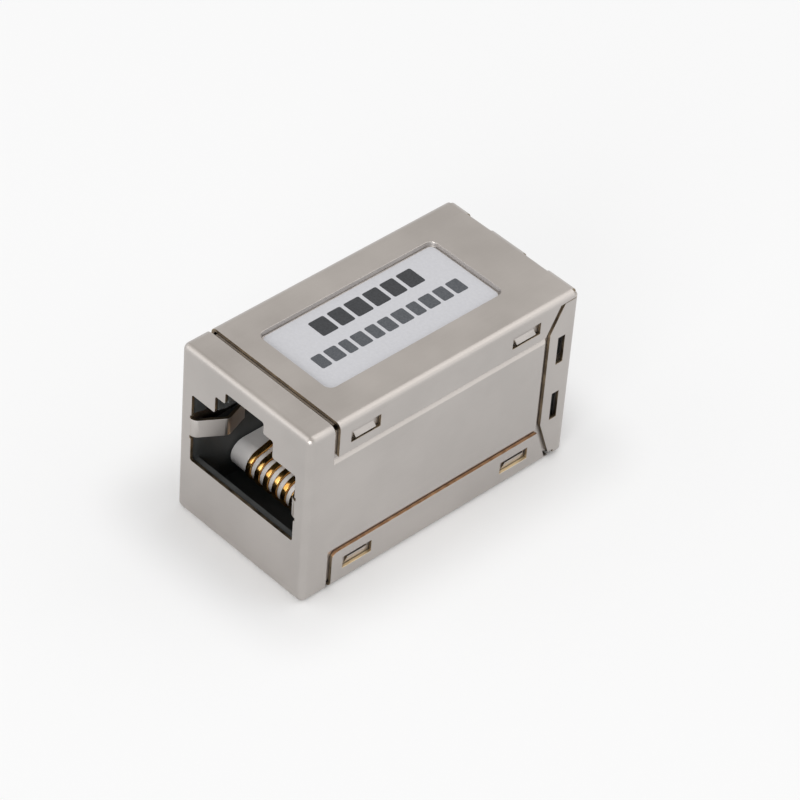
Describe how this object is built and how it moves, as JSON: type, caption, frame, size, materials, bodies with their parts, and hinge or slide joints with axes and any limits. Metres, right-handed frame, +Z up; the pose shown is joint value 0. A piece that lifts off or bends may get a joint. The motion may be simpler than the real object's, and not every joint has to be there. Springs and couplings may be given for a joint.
{
  "type": "rj45 inline coupler",
  "caption": "Shielded inline coupler for network cables: a box of folded nickel-plated sheet with a female RJ45 jack at each end and a white label on top.",
  "frame": {"origin": "centre of the underside, midway between the two jacks", "axes": "+Y from the front jack to the rear jack, along the length; +Z up, towards the label; +X to the right, looking into the front jack"},
  "size_m": [0.0148, 0.0286, 0.0169],
  "materials": {
    "shield": "satin nickel plate",
    "label": "smooth white",
    "housing": "semi-gloss black",
    "carrier": "light grey",
    "contact": "gold plated",
    "board": "green solder mask"
  },
  "bodies": {
    "root": {"main_shell": "shield", "top_cover": "shield", "bottom_cover": "shield", "label": "label", "circuit_board": "board", "front_jack_housing": "housing", "front_contact_carrier": "carrier", "contact_front_1": "contact", "contact_front_2": "contact", "contact_front_3": "contact", "contact_front_4": "contact", "contact_front_5": "contact", "contact_front_6": "contact", "contact_front_7": "contact", "contact_front_8": "contact", "rear_jack_housing": "housing", "rear_contact_carrier": "carrier", "contact_rear_1": "contact", "contact_rear_2": "contact", "contact_rear_3": "contact", "contact_rear_4": "contact", "contact_rear_5": "contact", "contact_rear_6": "contact", "contact_rear_7": "contact", "contact_rear_8": "contact"}
  },
  "joints": []
}
